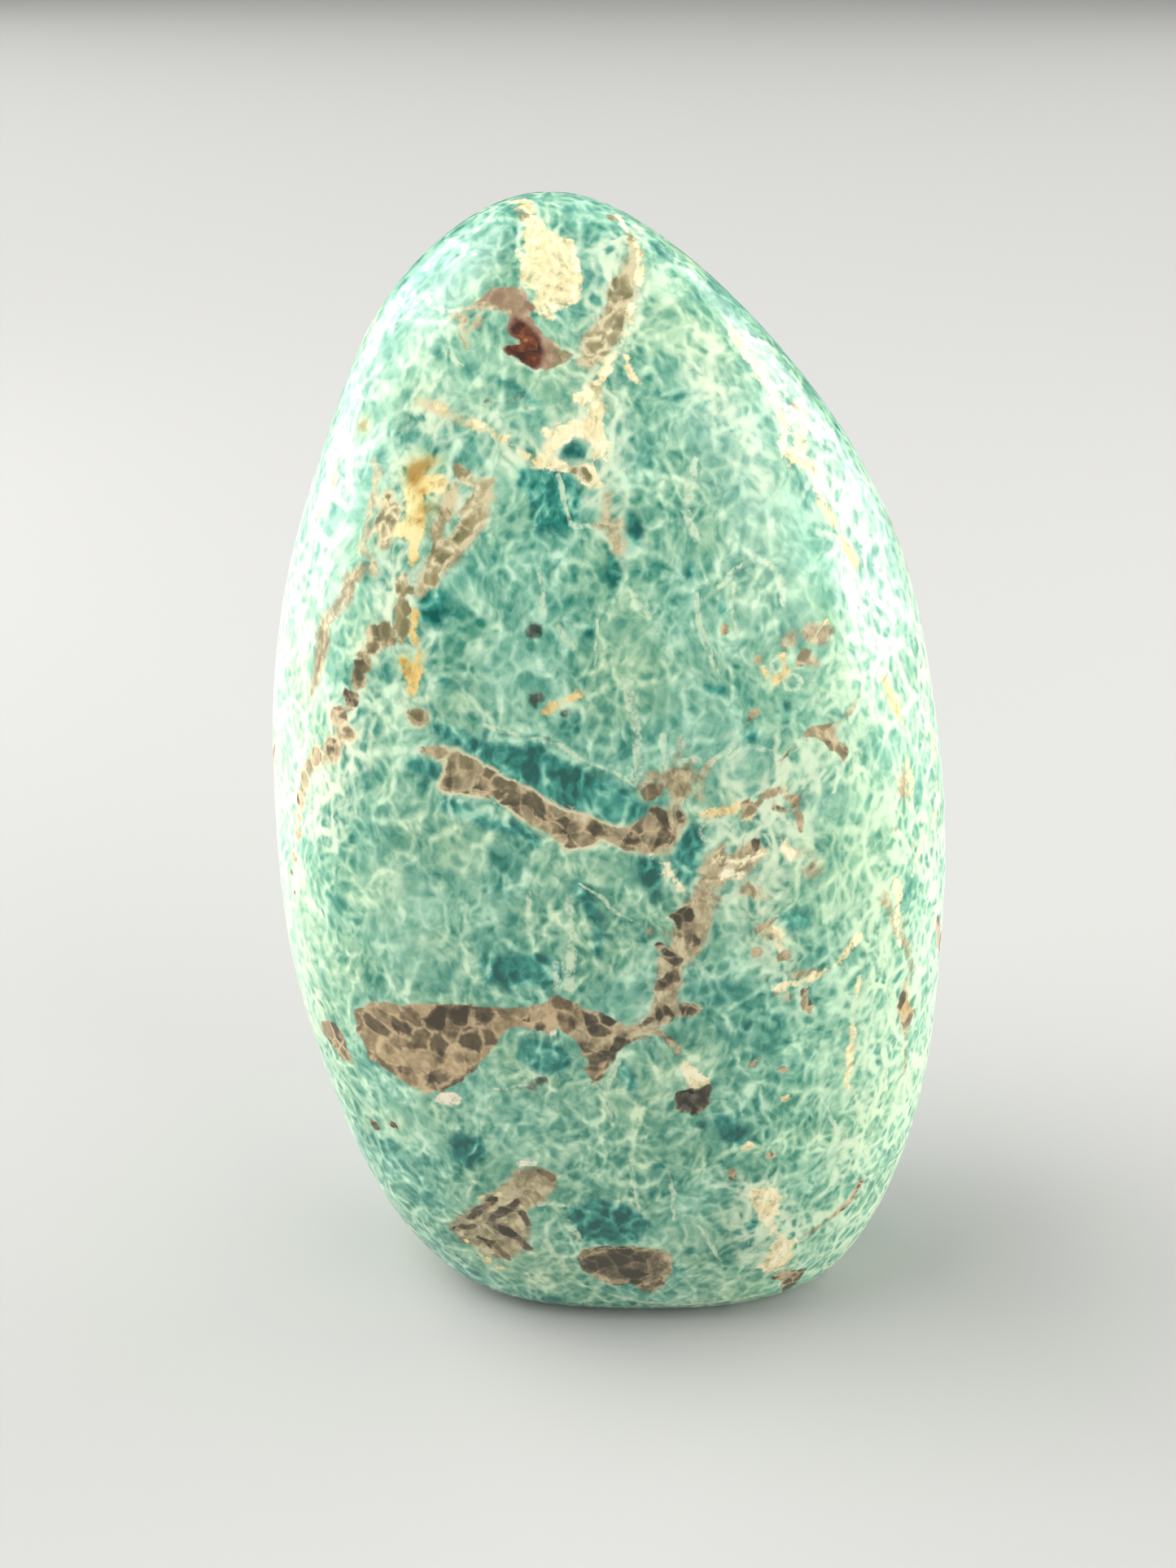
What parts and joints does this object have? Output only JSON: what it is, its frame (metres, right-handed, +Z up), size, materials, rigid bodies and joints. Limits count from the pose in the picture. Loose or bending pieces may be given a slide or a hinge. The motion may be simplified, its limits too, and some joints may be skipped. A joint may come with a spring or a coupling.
{
  "type": "polished amazonite freeform",
  "caption": "Polished freestanding amazonite stone, a leaning egg with softly ground faces and a flat sawn foot to stand on.",
  "frame": {"origin": "centre of the flat sawn foot, on the surface that the stone stands on", "axes": "+Z up from the foot towards the tip, +X to the viewer's right along the stone's width, -Y out of the broad front face"},
  "size_m": [0.0719, 0.0468, 0.12],
  "materials": {
    "amazonite": "polished"
  },
  "bodies": {
    "root": {"amazonite_stone": "amazonite"}
  },
  "joints": []
}
